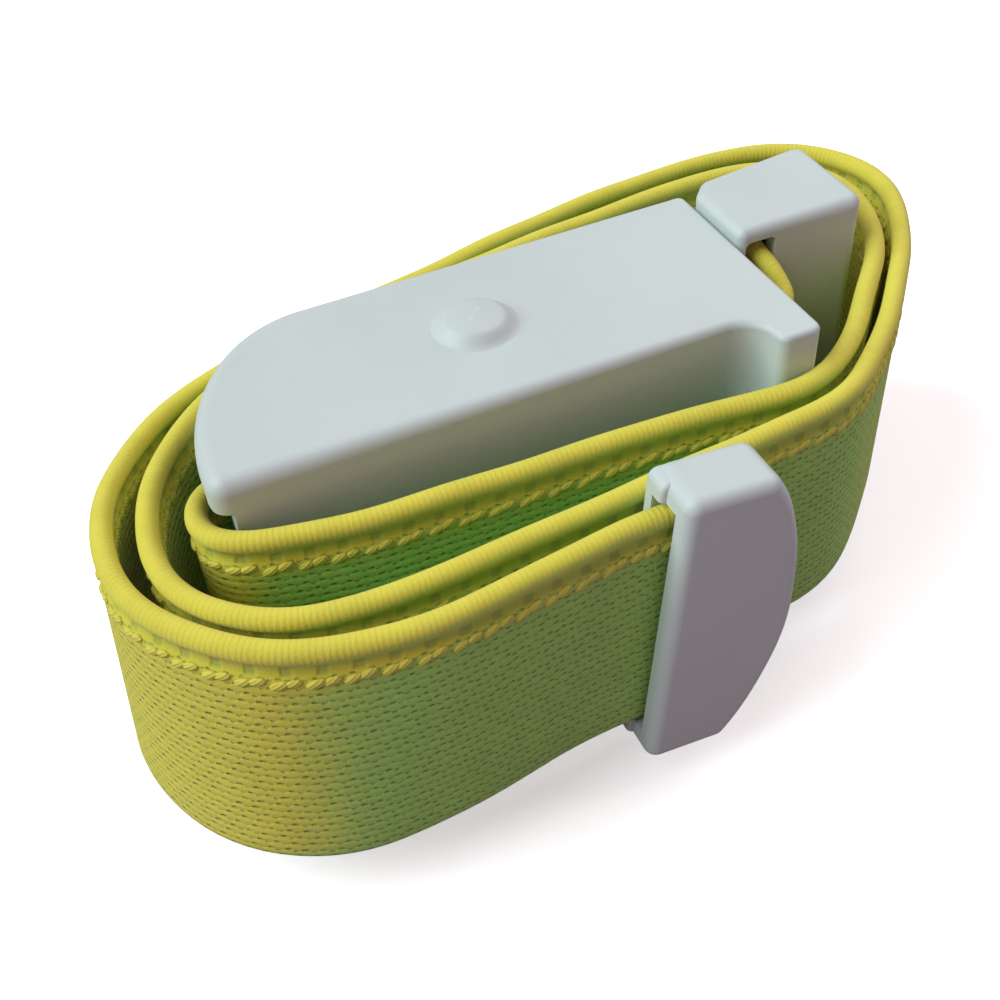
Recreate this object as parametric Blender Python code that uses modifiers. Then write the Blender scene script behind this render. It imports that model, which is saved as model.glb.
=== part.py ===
"""Blood-draw tourniquet: elastic webbing wound round its closed quick-release buckle.

Metres, +Z up.  The buckle lies on its side, so the width of the webbing stands vertical.
Plan coordinates (x, y) are measured from the pivot of the press lever; x runs along the
buckle from the nose to the plug, and y runs from the skin side to the lever side.  The empty
"assembly" then moves everything so that the origin is the middle of the base.
"""
import math

import bmesh
import bpy
import numpy as np
from mathutils import Matrix, Vector

MM = 0.001
GAP = 0.3                    # running gap between neighbouring pieces

# Driving dimensions, in millimetres
STRAP_WIDTH = 25.0
STRAP_THICK = 2.0
HOUSING_HEIGHT = 35.0        # over both cheeks
PLUG_HEIGHT = 37.4
TAB_HEIGHT = 29.4
CHEEK = 2.4                  # cheek thickness
WALL = 2.2                   # front wall and lever plate
FRONT_Y = -10.1              # outer face of the front wall
BACK_Y = 10.3                # outer face of the lever plate
END_X = 26.3                 # square end of the housing
NOSE_CENTRE = (-13.0, -8.0)  # the nose is a quarter of this ellipse
NOSE_RADII = (13.5, 18.3)
STRAP_EXIT_X = -25.0         # the front wall is cut back to here where the webbing leaves
FLANGE_THICK = 4.1
FLANGE_REACH = 4.0
BOSS_RADIUS = 4.2
BOSS_RISE = 1.0
PIN_RADIUS = 1.5
HUB_RADIUS = 3.2
EDGE = 1.2                   # rounding of the moulded outer edges
CHANNEL_Y = -5.3             # centre plane of the webbing inside the housing
PLUG_END_X = 40.3
PLUG_BACK_Y = (10.0, 11.5)   # back of the plug at its housing end and at its far end
TONGUE_REACH = 13.3          # how far the tongue goes into the housing
TAB_X = 5.4                  # left edge of the tab, at half its height
TAB_FRONT_Y = -27.3
TAB_BACK_Y = -21.3
TAB_LEAN = math.radians(4.8)
TAB_RISE = 0.8               # the tab's middle above the middle of the buckle
ANCHOR_RISE = 2.4            # the fixed end of the webbing above the middle of the buckle
INNER_RISE = 1.2             # the first turn of the webbing above the middle of the buckle

MID_Z = PLUG_HEIGHT / 2.0
CAVITY_HALF = HOUSING_HEIGHT / 2.0 - CHEEK
LEVER_HALF = CAVITY_HALF - GAP

MATERIALS = {
    "white_plastic": ((0.62, 0.70, 0.70), 0.42, 0.0),
    "webbing": ((0.52, 0.50, 0.07), 0.85, 0.0),
    "steel": ((0.55, 0.56, 0.57), 0.32, 1.0),
    "spring_steel": ((0.42, 0.43, 0.45), 0.28, 1.0),
}


# ---------------------------------------------------------------- scene and materials

def clear_scene():
    for item in list(bpy.data.objects):
        bpy.data.objects.remove(item, do_unlink=True)


def new_collection(name):
    collection = bpy.data.collections.new(name)
    bpy.context.scene.collection.children.link(collection)
    return collection


def make_material(piece_name, kind):
    """A Principled material of the piece's own."""
    colour, roughness, metallic = MATERIALS[kind]
    material = bpy.data.materials.new(piece_name + "_" + kind)
    material.use_nodes = True
    shader = material.node_tree.nodes["Principled BSDF"]
    shader.inputs["Base Color"].default_value = (*colour, 1.0)
    shader.inputs["Roughness"].default_value = roughness
    shader.inputs["Metallic"].default_value = metallic
    return material


clear_scene()
PARTS = new_collection("tourniquet")
CUTTERS = new_collection("cutters")
ASSEMBLY = bpy.data.objects.new("assembly", None)
PARTS.objects.link(ASSEMBLY)


# ---------------------------------------------------------------- helpers

def add_mesh(name, mesh, kind=None):
    """A piece in the part's collection, or a hidden cutter where no material is named."""
    item = bpy.data.objects.new(name, mesh)
    item.parent = ASSEMBLY
    if kind is None:
        CUTTERS.objects.link(item)
        item.display_type = "WIRE"
        item.hide_render = True
    else:
        PARTS.objects.link(item)
        mesh.materials.append(make_material(name, kind))
    return item


def scaled(mesh):
    """Turns a mesh drawn in millimetres into metres."""
    mesh.transform(Matrix.Scale(MM, 4))
    return mesh


def from_bmesh(name, shape):
    bmesh.ops.recalc_face_normals(shape, faces=shape.faces)
    mesh = bpy.data.meshes.new(name)
    shape.to_mesh(mesh)
    shape.free()
    return scaled(mesh)


def box_mesh(name, low, high):
    shape = bmesh.new()
    bmesh.ops.create_cube(shape, size=1.0)
    size = Vector(high) - Vector(low)
    middle = (Vector(high) + Vector(low)) / 2.0
    bmesh.ops.scale(shape, vec=size, verts=shape.verts)
    bmesh.ops.translate(shape, vec=middle, verts=shape.verts)
    return from_bmesh(name, shape)


def prism_mesh(name, outline, z_low, z_high):
    """A flat outline in the plan, raised from z_low to z_high."""
    shape = bmesh.new()
    base = shape.faces.new([shape.verts.new((x, y, z_low)) for x, y in outline])
    raised = bmesh.ops.extrude_face_region(shape, geom=[base])["geom"]
    corners = [item for item in raised if isinstance(item, bmesh.types.BMVert)]
    bmesh.ops.translate(shape, vec=(0.0, 0.0, z_high - z_low), verts=corners)
    return from_bmesh(name, shape)


def rod_mesh(name, x, y, z_low, z_high, radius, sides=24):
    shape = bmesh.new()
    bmesh.ops.create_cone(shape, cap_ends=True, segments=sides, radius1=radius,
                          radius2=radius, depth=z_high - z_low)
    bmesh.ops.translate(shape, vec=(x, y, (z_high + z_low) / 2.0), verts=shape.verts)
    return from_bmesh(name, shape)


def rod_along_y(name, x, z, y_low, y_high, radius, sides=16):
    shape = bmesh.new()
    turn = Matrix.Rotation(math.pi / 2.0, 4, "X")
    bmesh.ops.create_cone(shape, cap_ends=True, segments=sides, radius1=radius,
                          radius2=radius, depth=y_high - y_low, matrix=turn)
    bmesh.ops.translate(shape, vec=(x, (y_high + y_low) / 2.0, z), verts=shape.verts)
    return from_bmesh(name, shape)


def boolean(target, cutter, operation):
    step = target.modifiers.new(operation.lower(), "BOOLEAN")
    step.operation = operation
    step.object = cutter
    return step


def cut(target, mesh):
    boolean(target, add_mesh(target.name + "_cut", mesh), "DIFFERENCE")


def join(target, mesh):
    boolean(target, add_mesh(target.name + "_add", mesh), "UNION")


def round_edges(target, width, segments=2, angle=50.0):
    step = target.modifiers.new("rounding", "BEVEL")
    step.width = width * MM
    step.segments = segments
    step.limit_method = "ANGLE"
    step.angle_limit = math.radians(angle)
    return step


def arc(centre, radii, start, end, count):
    """Points on an ellipse arc, angles in degrees."""
    points = []
    for step in range(count + 1):
        angle = math.radians(start + (end - start) * step / count)
        points.append((centre[0] + radii[0] * math.cos(angle),
                       centre[1] + radii[1] * math.sin(angle)))
    return points


def smooth_path(points, spacing):
    """A curve through hand-placed points, read off at an even spacing."""
    knots = np.array(points, dtype=float)
    ends = np.vstack([2 * knots[0] - knots[1], knots, 2 * knots[-1] - knots[-2]])
    fine = []
    for i in range(1, len(ends) - 2):
        a, b, c, d = ends[i - 1:i + 3]
        for t in np.linspace(0.0, 1.0, 24, endpoint=False):
            fine.append(0.5 * (2 * b + (c - a) * t + (2 * a - 5 * b + 4 * c - d) * t ** 2
                               + (3 * b - a - 3 * c + d) * t ** 3))
    fine = np.array(fine + [knots[-1]])
    run = np.concatenate([[0.0], np.cumsum(np.linalg.norm(np.diff(fine, axis=0), axis=1))])
    count = max(2, round(run[-1] / spacing))
    places = np.linspace(0.0, run[-1], count + 1)
    return np.stack([np.interp(places, run, fine[:, k]) for k in range(fine.shape[1])], axis=1)


def webbing_mesh(name, path, rise, flare=None):
    """A band that stands on edge along a plan path; flare leans its lower edge outward."""
    tangent = np.gradient(path, axis=0)
    tangent /= np.linalg.norm(tangent, axis=1)[:, None]
    side = np.stack([-tangent[:, 1], tangent[:, 0]], axis=1) * STRAP_THICK / 2.0
    lean = np.zeros_like(path) if flare is None else flare
    half = STRAP_WIDTH / 2.0
    shape = bmesh.new()
    rings = []
    for place, offset, shift, lift in zip(path, side, lean, rise):
        ring = []
        for sign, level in ((-1, -half), (1, -half), (1, half), (-1, half)):
            foot = place + sign * offset + (shift if level < 0 else 0.0)
            ring.append(shape.verts.new((foot[0], foot[1], MID_Z + lift + level)))
        rings.append(ring)
    for first, second in zip(rings, rings[1:]):
        for k in range(4):
            m = (k + 1) % 4
            shape.faces.new((first[k], first[m], second[m], second[k]))
    shape.faces.new(rings[0][::-1])
    shape.faces.new(rings[-1])
    return from_bmesh(name, shape)


# ---------------------------------------------------------------- housing

def nose_arc(start, end, count, inset=0.0):
    radii = (NOSE_RADII[0] - inset, NOSE_RADII[1] - inset)
    return arc(NOSE_CENTRE, radii, start, end, count)


def housing_outline():
    tip_y = FRONT_Y - FLANGE_REACH
    root_x = END_X - FLANGE_THICK
    outline = [(END_X - 0.9, tip_y), (END_X, tip_y + 0.9), (END_X, BACK_Y)]
    outline += nose_arc(90.0, 180.0, 14)
    outline += [(-END_X, FRONT_Y)]
    outline += arc((root_x - 3.0, FRONT_Y - 3.0), (3.0, 3.0), 90.0, 0.0, 4)
    outline += [(root_x, tip_y + 0.6), (root_x + 0.6, tip_y)]
    return outline


def boss_mesh(name, side):
    """The low round boss over the pivot, turned as a lens that sinks into the cheek."""
    ball = (BOSS_RADIUS ** 2 + BOSS_RISE ** 2) / (2.0 * BOSS_RISE)
    shape = bmesh.new()
    bmesh.ops.create_uvsphere(shape, u_segments=32, v_segments=48, radius=ball)
    floor = ball - BOSS_RISE - 0.5
    bmesh.ops.bisect_plane(shape, geom=shape.verts[:] + shape.edges[:] + shape.faces[:],
                           plane_co=(0, 0, floor), plane_no=(0, 0, -1), clear_outer=True)
    rim = [edge for edge in shape.edges if edge.is_boundary]
    bmesh.ops.contextual_create(shape, geom=rim)
    if side < 0:
        bmesh.ops.scale(shape, vec=(1, 1, -1), verts=shape.verts)
    face = HOUSING_HEIGHT / 2.0 - (ball - BOSS_RISE)
    bmesh.ops.translate(shape, vec=(0, 0, MID_Z + side * face), verts=shape.verts)
    return from_bmesh(name, shape)


def make_housing():
    half = HOUSING_HEIGHT / 2.0
    mesh = prism_mesh("housing", housing_outline(), MID_Z - half, MID_Z + half)
    housing = add_mesh("housing", mesh, "white_plastic")
    round_edges(housing, EDGE)
    for side in (-1, 1):
        join(housing, boss_mesh("boss", side))
    cut(housing, box_mesh("channel", (-40, FRONT_Y + WALL, MID_Z - CAVITY_HALF),
                          (40, 40, MID_Z + CAVITY_HALF)))
    exit_half = STRAP_WIDTH / 2.0 + 0.6
    exit_middle = MID_Z + INNER_RISE
    cut(housing, box_mesh("strap_exit", (-40, FRONT_Y - 2.0, exit_middle - exit_half),
                          (STRAP_EXIT_X, 40, exit_middle + exit_half)))
    reach = half - 0.2
    cut(housing, rod_mesh("pin_bore", 0, 0, MID_Z - reach, MID_Z + reach, PIN_RADIUS + GAP))


def make_pivot_pin():
    half = HOUSING_HEIGHT / 2.0 - 0.5
    pin = add_mesh("pivot_pin", rod_mesh("pivot_pin", 0, 0, MID_Z - half, MID_Z + half,
                                         PIN_RADIUS), "steel")
    round_edges(pin, 0.3, 1)


def make_bed_plate():
    """Steel plate with cross ribs that the webbing is gripped against."""
    floor = FRONT_Y + WALL + GAP
    outline = [(1.0, floor + 0.6), (1.0, floor), (15.0, floor), (15.0, floor + 0.6)]
    for rib in range(6):
        x = 13.5 - 2.2 * rib
        outline += [(x, floor + 0.6), (x - 0.5, floor + 1.0), (x - 1.0, floor + 0.6)]
    add_mesh("bed_plate", prism_mesh("bed_plate", outline, MID_Z - 13.5, MID_Z + 13.5), "steel")


# ---------------------------------------------------------------- press lever

LEVER_TIP_ANGLE = 146.0      # where the lever's nose ends on the nose ellipse
CORE_HALF = 12.3             # half length of the jaw block and of the thick part of the hub
JAW = (3.0, 12.2)            # x range of the jaw block
JAW_Y = -1.6


def make_lever():
    outer = nose_arc(90.0, LEVER_TIP_ANGLE, 10)
    inner = nose_arc(LEVER_TIP_ANGLE, 90.0, 10, inset=WALL)
    end = END_X - 0.4
    outline = [(end, BACK_Y)] + outer + inner + [(end, BACK_Y - WALL)]
    mesh = prism_mesh("lever", outline, MID_Z - LEVER_HALF, MID_Z + LEVER_HALF)
    lever = add_mesh("lever", mesh, "white_plastic")
    round_edges(lever, 0.4, 1)
    under = BACK_Y - WALL + 0.5
    block = [(-3.0, under), (-3.0, 0.0), (JAW[0], 0.0), (JAW[0], JAW_Y), (JAW[1], JAW_Y),
             (JAW[1], under)]
    join(lever, prism_mesh("jaw_block", block, MID_Z - CORE_HALF, MID_Z + CORE_HALF))
    join(lever, rod_mesh("hub", 0, 0, MID_Z - LEVER_HALF + 0.8, MID_Z + LEVER_HALF - 0.8,
                         HUB_RADIUS))
    cut(lever, rod_mesh("hub_bore", 0, 0, MID_Z - 20, MID_Z + 20, PIN_RADIUS + GAP))


def make_jaw_plate():
    """Toothed steel insert under the jaw block."""
    top = JAW_Y - GAP
    root = top - 1.1
    low, high = 3.6, 12.0
    outline = [(low, top), (low, root)]
    teeth = 6
    pitch = (high - low) / teeth
    for tooth in range(teeth):
        x = low + pitch * tooth
        outline += [(x + 0.15, root - 0.9), (x + pitch * 0.85, root)]
    outline += [(high, root), (high, top)]
    add_mesh("jaw_plate", prism_mesh("jaw_plate", outline, MID_Z - 12.0, MID_Z + 12.0), "steel")


def make_catch():
    """Spring-steel catch under the lever that drops into the groove of the tongue."""
    top = BACK_Y - WALL - GAP
    outline = [(14.0, top), (14.0, top - 0.6), (16.6, top - 0.6), (16.6, 5.2), (17.3, 5.2),
               (18.1, top - 0.6), (23.0, top - 0.6), (23.0, top)]
    add_mesh("catch", prism_mesh("catch", outline, MID_Z - 9.0, MID_Z + 9.0), "spring_steel")


def make_washers():
    for name, side in (("washer_top", 1), ("washer_bottom", -1)):
        z_low, z_high = sorted((MID_Z + side * (LEVER_HALF - 0.45), MID_Z + side * LEVER_HALF))
        washer = add_mesh(name, rod_mesh(name, 0, 0, z_low, z_high, 3.6), "steel")
        cut(washer, rod_mesh("washer_bore", 0, 0, MID_Z - 20, MID_Z + 20, PIN_RADIUS + GAP))


def make_torsion_springs():
    """A turn and a quarter round the hub; one leg under the lever, one on the front wall."""
    wire = 0.3
    pitch = 0.75
    turns = 1.25
    count = 24
    leg_x = -9.0
    radius = HUB_RADIUS + GAP + wire
    lever_leg_y = BACK_Y - WALL - 2.0 * GAP - 2.0 * wire
    wall_leg_y = FRONT_Y + WALL + GAP + wire
    for name, side in (("torsion_spring_top", 1), ("torsion_spring_bottom", -1)):
        start_z = MID_Z + side * (CORE_HALF + GAP + wire)
        points = [(leg_x, lever_leg_y, start_z)]
        for step in range(count + 1):
            turned = turns * step / count
            angle = 2.0 * math.pi * turned + math.radians(135.0)
            points.append((radius * math.cos(angle), radius * math.sin(angle),
                           start_z + side * pitch * turned))
        points.append((leg_x, wall_leg_y, points[-1][2]))
        curve = bpy.data.curves.new(name, "CURVE")
        curve.dimensions = "3D"
        curve.bevel_depth = wire * MM
        curve.bevel_resolution = 1
        curve.use_fill_caps = True
        spline = curve.splines.new("POLY")
        spline.points.add(len(points) - 1)
        for spot, place in zip(spline.points, points):
            spot.co = (*[value * MM for value in place], 1.0)
        spring = bpy.data.objects.new(name, curve)
        spring.parent = ASSEMBLY
        PARTS.objects.link(spring)
        curve.materials.append(make_material(name, "spring_steel"))


# ---------------------------------------------------------------- plug

PLUG_X = END_X + GAP
SLOT = (PLUG_X + 0.7, PLUG_X + 3.9)      # x range of the slot in the front wall
BAR = (32.8, 4.9)                        # the anchor bar, in plan


def make_plug():
    outline = [(PLUG_X, 0.0)]
    outline += arc((PLUG_END_X - 1.8, 1.8), (1.8, 1.8), -90.0, 0.0, 3)
    outline += arc((PLUG_END_X - 1.5, PLUG_BACK_Y[1] - 1.5), (1.5, 1.5), 0.0, 90.0, 3)
    outline += [(PLUG_X + 1.6, PLUG_BACK_Y[0]), (PLUG_X, PLUG_BACK_Y[0] - 1.6)]
    plug = add_mesh("plug", prism_mesh("plug", outline, 0.0, PLUG_HEIGHT), "white_plastic")
    round_edges(plug, EDGE)
    tongue_tip = END_X - TONGUE_REACH
    tongue = [(tongue_tip, 2.2), (tongue_tip + 1.0, 1.4), (PLUG_X + 1.0, 1.4),
              (PLUG_X + 1.0, 6.5), (tongue_tip + 2.0, 6.5), (tongue_tip, 5.0)]
    slot_half = PLUG_HEIGHT / 2.0 - 1.4
    cut(plug, box_mesh("slot", (SLOT[0], -1.0, MID_Z - slot_half),
                       (SLOT[1], 3.0, MID_Z + slot_half)))
    cut(plug, box_mesh("hollow", (SLOT[0], 1.6, MID_Z - slot_half),
                       (PLUG_END_X - 1.6, 8.6, MID_Z + slot_half)))
    join(plug, prism_mesh("tongue", tongue, MID_Z - 13.0, MID_Z + 13.0))
    cut(plug, box_mesh("catch_groove", (16.2, 4.6, MID_Z - 9.6), (20.4, 8.0, MID_Z + 9.6)))
    reach = slot_half + 0.9
    cut(plug, rod_mesh("bar_bore", *BAR, MID_Z - reach, MID_Z + reach, 1.0 + GAP, 16))


def make_anchor_bar():
    half = PLUG_HEIGHT / 2.0 - 0.8
    bar = add_mesh("anchor_bar", rod_mesh("anchor_bar", *BAR, MID_Z - half, MID_Z + half, 1.0, 16),
                   "steel")
    round_edges(bar, 0.25, 1)


def make_strap_anchor():
    """The fixed end of the webbing: out of the channel, round the bar and back on itself."""
    loop = 1.0 + GAP + STRAP_THICK / 2.0
    points = [(PLUG_X + 0.3, CHANNEL_Y), (28.0, -4.4), (28.8, -2.2), (28.9, 0.6), (29.1, 3.2),
              (30.0, 5.8)]
    points += arc(BAR, (loop, loop), 110.0, -60.0, 6)
    path = smooth_path(points, 1.2)
    rise = np.full(len(path), ANCHOR_RISE)
    add_mesh("strap_anchor", webbing_mesh("strap_anchor", path, rise), "webbing")


# ---------------------------------------------------------------- webbing coil

CHANNEL_RUN = [(END_X - 0.3, CHANNEL_Y), (16.0, CHANNEL_Y), (0.0, CHANNEL_Y), (-14.0, CHANNEL_Y)]
NOSE_TURN = [(-20.0, -4.2), (-24.0, -3.2), (-26.8, -4.2), (-28.0, -7.0), (-27.5, -9.8),
             (-25.4, -11.8)]
INNER_TURN = [(-21.5, -12.8), (-13.5, -14.0), (-2.0, -14.3), (11.0, -14.5), (20.0, -15.2),
              (24.6, -15.5), (28.4, -13.9), (32.4, -10.7), (36.2, -6.9), (40.8, -2.0),
              (43.4, 1.7), (45.0, 5.4), (45.5, 9.2), (45.1, 12.8), (42.8, 16.0), (39.2, 17.9),
              (34.4, 18.6), (27.0, 18.3), (18.6, 17.4), (10.0, 16.1), (2.0, 14.9),
              (-6.0, 13.4), (-12.0, 12.2), (-16.0, 11.2)]
MIDDLE_TURN = [(-21.6, 8.8), (-26.2, 5.1), (-29.3, 0.7), (-31.1, -3.6), (-31.9, -7.8),
               (-31.6, -11.6), (-30.3, -15.0), (-27.9, -18.0), (-24.6, -20.2), (-20.4, -21.2),
               (-16.0, -21.6), (-11.7, -21.4), (-5.0, -20.9), (1.7, -20.2), (7.0, -19.8),
               (13.0, -19.2), (20.0, -18.7), (24.4, -18.4), (28.0, -17.2), (31.0, -15.1),
               (35.0, -11.7), (40.2, -6.4), (45.6, 0.3), (49.0, 6.0), (50.2, 11.0),
               (49.9, 14.4), (48.2, 17.7), (45.2, 20.2), (41.0, 21.9), (35.0, 22.6),
               (26.4, 21.9), (18.8, 20.9), (11.1, 19.4), (3.7, 17.6), (-5.0, 15.9)]
OUTER_TURN = [(-11.5, 14.7), (-17.0, 13.3), (-23.4, 10.4), (-28.4, 7.0), (-31.8, 3.3),
              (-34.0, -0.6), (-35.3, -5.7), (-35.1, -10.4), (-33.6, -14.6), (-31.4, -18.0),
              (-28.4, -21.0), (-25.0, -23.2), (-21.0, -24.6), (-14.5, -25.6), (-9.6, -25.4),
              (-4.2, -24.6), (1.6, -24.0), (6.0, -23.9), (TAB_X + 3.4, -23.9)]
# how high the webbing rides: length left to its free end, and rise above the middle
RISE_LEFT = (0.0, 14.0, 30.0, 50.0, 75.0, 110.0, 150.0, 190.0, 215.0, 245.0, 280.0, 320.0,
             350.0, 440.0, 464.0)
RISE = (1.1, 1.0, 0.4, 0.0, 0.0, 0.4, 0.8, 1.0, 0.7, 0.3, 0.4, 1.0, INNER_RISE, INNER_RISE, 0.0)
FLARE = 2.4                  # how far the lower edge of the outer turn leans out at the nose


def coil_path():
    return smooth_path(CHANNEL_RUN + NOSE_TURN + INNER_TURN + MIDDLE_TURN + OUTER_TURN, 4.2)


def length_left(path):
    """From each point of a path to its end, in millimetres."""
    step = np.linalg.norm(np.diff(path, axis=0), axis=1)
    return np.concatenate([np.cumsum(step[::-1])[::-1], [0.0]])


def coil_flare(path):
    """The loose outer turn leans outward at the bottom, most at the nose end."""
    left = length_left(path)
    ramp = np.clip((left - 16.0) / 24.0, 0.0, 1.0) * np.clip((112.0 - left) / 24.0, 0.0, 1.0)
    amount = FLARE * ramp * ramp * (3.0 - 2.0 * ramp)
    tangent = np.gradient(path, axis=0)
    tangent /= np.linalg.norm(tangent, axis=1)[:, None]
    outward = np.stack([tangent[:, 1], -tangent[:, 0]], axis=1)
    return outward * amount[:, None]


def make_webbing():
    path = coil_path()
    rise = np.interp(length_left(path), RISE_LEFT, RISE)
    add_mesh("strap_webbing", webbing_mesh("strap_webbing", path, rise, coil_flare(path)),
             "webbing")


# ---------------------------------------------------------------- tab

# right edge of the tab, from its top down: width from the left edge, height above its middle
TAB_EDGE = [(7.3, 14.7), (8.7, 12.6), (9.7, 10.4), (10.8, 6.8), (11.4, 2.6), (11.6, -1.4),
            (11.1, -5.2), (9.8, -9.4), (8.4, -12.4), (6.9, -14.7)]
TAB_LIP = 1.0                # the back half of the tab's left edge stands this much proud
POCKET_HALF = STRAP_WIDTH / 2.0 + 0.7
POCKET_DEPTH = 5.0           # how deep the end of the webbing sits
POCKET_FRONT_Y = -25.3
RIVET_X = 8.2
RIVET_Z = 5.0
RIVET_RADIUS = 0.6


def tab_outline(left=0.0):
    half = TAB_HEIGHT / 2.0
    edge = [(x, min(half, max(-half, z))) for x, z in smooth_path(TAB_EDGE, 2.4)]
    return [(left, half), (left, -half)] + edge[::-1]


def tab_mesh(name, outline, y_low, y_high):
    """An outline in the upright plane, drawn about the tab's middle."""
    mesh = prism_mesh(name, outline, -y_high, -y_low)
    mesh.transform(Matrix.Rotation(math.pi / 2.0, 4, "X"))
    return mesh


def lean_tab(mesh):
    """Puts a mesh drawn about the tab's middle where the tab hangs on the webbing."""
    place = Matrix.Translation((TAB_X * MM, 0.0, (MID_Z + TAB_RISE) * MM))
    mesh.transform(place @ Matrix.Rotation(TAB_LEAN, 4, "Y"))
    return mesh


def make_tab():
    seam_y = TAB_BACK_Y - 1.4
    front = add_mesh("tab_front", lean_tab(tab_mesh("tab_front", tab_outline(), TAB_FRONT_Y,
                                                    seam_y - GAP)), "white_plastic")
    round_edges(front, 0.9)
    low, high = INNER_RISE - TAB_RISE - POCKET_HALF, INNER_RISE - TAB_RISE + POCKET_HALF
    pocket = [(-3.0, high), (-3.0, low), (POCKET_DEPTH, low), (POCKET_DEPTH, high)]
    cut(front, lean_tab(tab_mesh("pocket", pocket, POCKET_FRONT_Y, -20.0)))
    back = add_mesh("tab_back", lean_tab(tab_mesh("tab_back", tab_outline(-TAB_LIP), seam_y,
                                                  TAB_BACK_Y)), "white_plastic")
    round_edges(back, 0.4, 1)
    for name, z in (("tab_rivet_top", RIVET_Z), ("tab_rivet_bottom", -RIVET_Z)):
        bore = RIVET_RADIUS + GAP
        cut(front, lean_tab(rod_along_y("rivet_bore", RIVET_X, z, -25.6, -18.0, bore, 12)))
        cut(back, lean_tab(rod_along_y("rivet_bore", RIVET_X, z, -25.6, TAB_BACK_Y - 0.4, bore,
                                       12)))
        rivet = rod_along_y(name, RIVET_X, z, -25.3, TAB_BACK_Y - 0.7, RIVET_RADIUS, 12)
        add_mesh(name, lean_tab(rivet), "steel")


# ---------------------------------------------------------------- assembly

def plan_centre():
    """Middle of the whole object's plan box, from the outline of the outer turns."""
    path = coil_path()
    tangent = np.gradient(path, axis=0)
    tangent /= np.linalg.norm(tangent, axis=1)[:, None]
    side = np.stack([-tangent[:, 1], tangent[:, 0]], axis=1) * STRAP_THICK / 2.0
    edges = np.vstack([path + side, path - side, path + side + coil_flare(path),
                       path - side + coil_flare(path), [[0.0, TAB_FRONT_Y]]])
    return (edges.min(axis=0) + edges.max(axis=0)) / 2.0


def main():
    make_housing()
    make_pivot_pin()
    make_bed_plate()
    make_lever()
    make_jaw_plate()
    make_catch()
    make_washers()
    make_torsion_springs()
    make_plug()
    make_anchor_bar()
    make_strap_anchor()
    make_webbing()
    make_tab()
    centre = plan_centre()
    ASSEMBLY.location = (-centre[0] * MM, -centre[1] * MM, 0.0)
    bpy.context.view_layer.update()


main()
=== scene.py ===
"""Blood-draw tourniquet: elastic webbing wound round its closed quick-release buckle.

The buckle lies on its side on a pale floor, so the width of the webbing stands upright.
Pieces are drawn in millimetres in the plan of the buckle, whose zero is the pivot of the press
lever, and then set into the frame at the buckle's own corner.
"""
import math

import bmesh
import bpy
import numpy as np
from mathutils import Matrix, Vector


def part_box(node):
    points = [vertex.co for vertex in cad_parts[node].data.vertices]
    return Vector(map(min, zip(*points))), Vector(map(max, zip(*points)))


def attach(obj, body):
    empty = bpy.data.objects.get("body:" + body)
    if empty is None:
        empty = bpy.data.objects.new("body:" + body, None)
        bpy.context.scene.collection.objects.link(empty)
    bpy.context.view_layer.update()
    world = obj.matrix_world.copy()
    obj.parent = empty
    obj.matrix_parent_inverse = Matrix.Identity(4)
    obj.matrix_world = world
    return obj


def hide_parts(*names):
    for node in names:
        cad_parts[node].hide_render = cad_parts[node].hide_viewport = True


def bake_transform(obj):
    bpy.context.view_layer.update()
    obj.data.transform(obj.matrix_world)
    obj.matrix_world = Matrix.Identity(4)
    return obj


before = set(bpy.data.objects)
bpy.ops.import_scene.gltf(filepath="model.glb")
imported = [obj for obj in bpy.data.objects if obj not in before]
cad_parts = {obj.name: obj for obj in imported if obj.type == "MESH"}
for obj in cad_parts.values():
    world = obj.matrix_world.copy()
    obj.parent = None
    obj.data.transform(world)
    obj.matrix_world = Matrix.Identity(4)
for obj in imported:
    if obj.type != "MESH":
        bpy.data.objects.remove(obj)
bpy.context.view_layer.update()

MM = 0.001
GAP = 0.3

# The buckle, in millimetres from the pivot
END_X = 26.3
BACK_Y = 10.3
FRONT_Y = -10.1
HOUSING_HEIGHT = 35.0
PLUG_HEIGHT = 37.4
CHEEK = 2.4
WALL = 2.2
NOSE_CENTRE = (-13.0, -8.0)
NOSE_RADII = (13.5, 18.3)
FLANGE_THICK = 4.1
FLANGE_REACH = 4.0
STRAP_EXIT_X = -25.0
PIN_RADIUS = 1.5
HUB_RADIUS = 3.2
CORE_HALF = 12.3
LEVER_TIP_ANGLE = 146.0
JAW = (3.0, 12.2)
JAW_Y = -1.6
PLUG_X = END_X + GAP
PLUG_END_X = 40.3
PLUG_BACK_Y = (10.0, 11.5)
SLOT = (PLUG_X + 0.7, PLUG_X + 3.9)
PLUG_WALL = 1.4                     # above and below the plug's slot
BAR = (32.8, 4.9)
BAR_RADIUS = 1.0
TONGUE_TIP = END_X - 13.3
TONGUE_HALF = 13.0
CATCH_HALF = 9.6
BOSS_HEIGHT = 1.30
BOSS_RADIUS = 4.2
RIB_ANGLES = (112.0, 119.0, 126.0)  # where the lever's grip ribs stand on the nose
RIB_HALF = 11.0
RIB_RADIUS = 0.8

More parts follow.
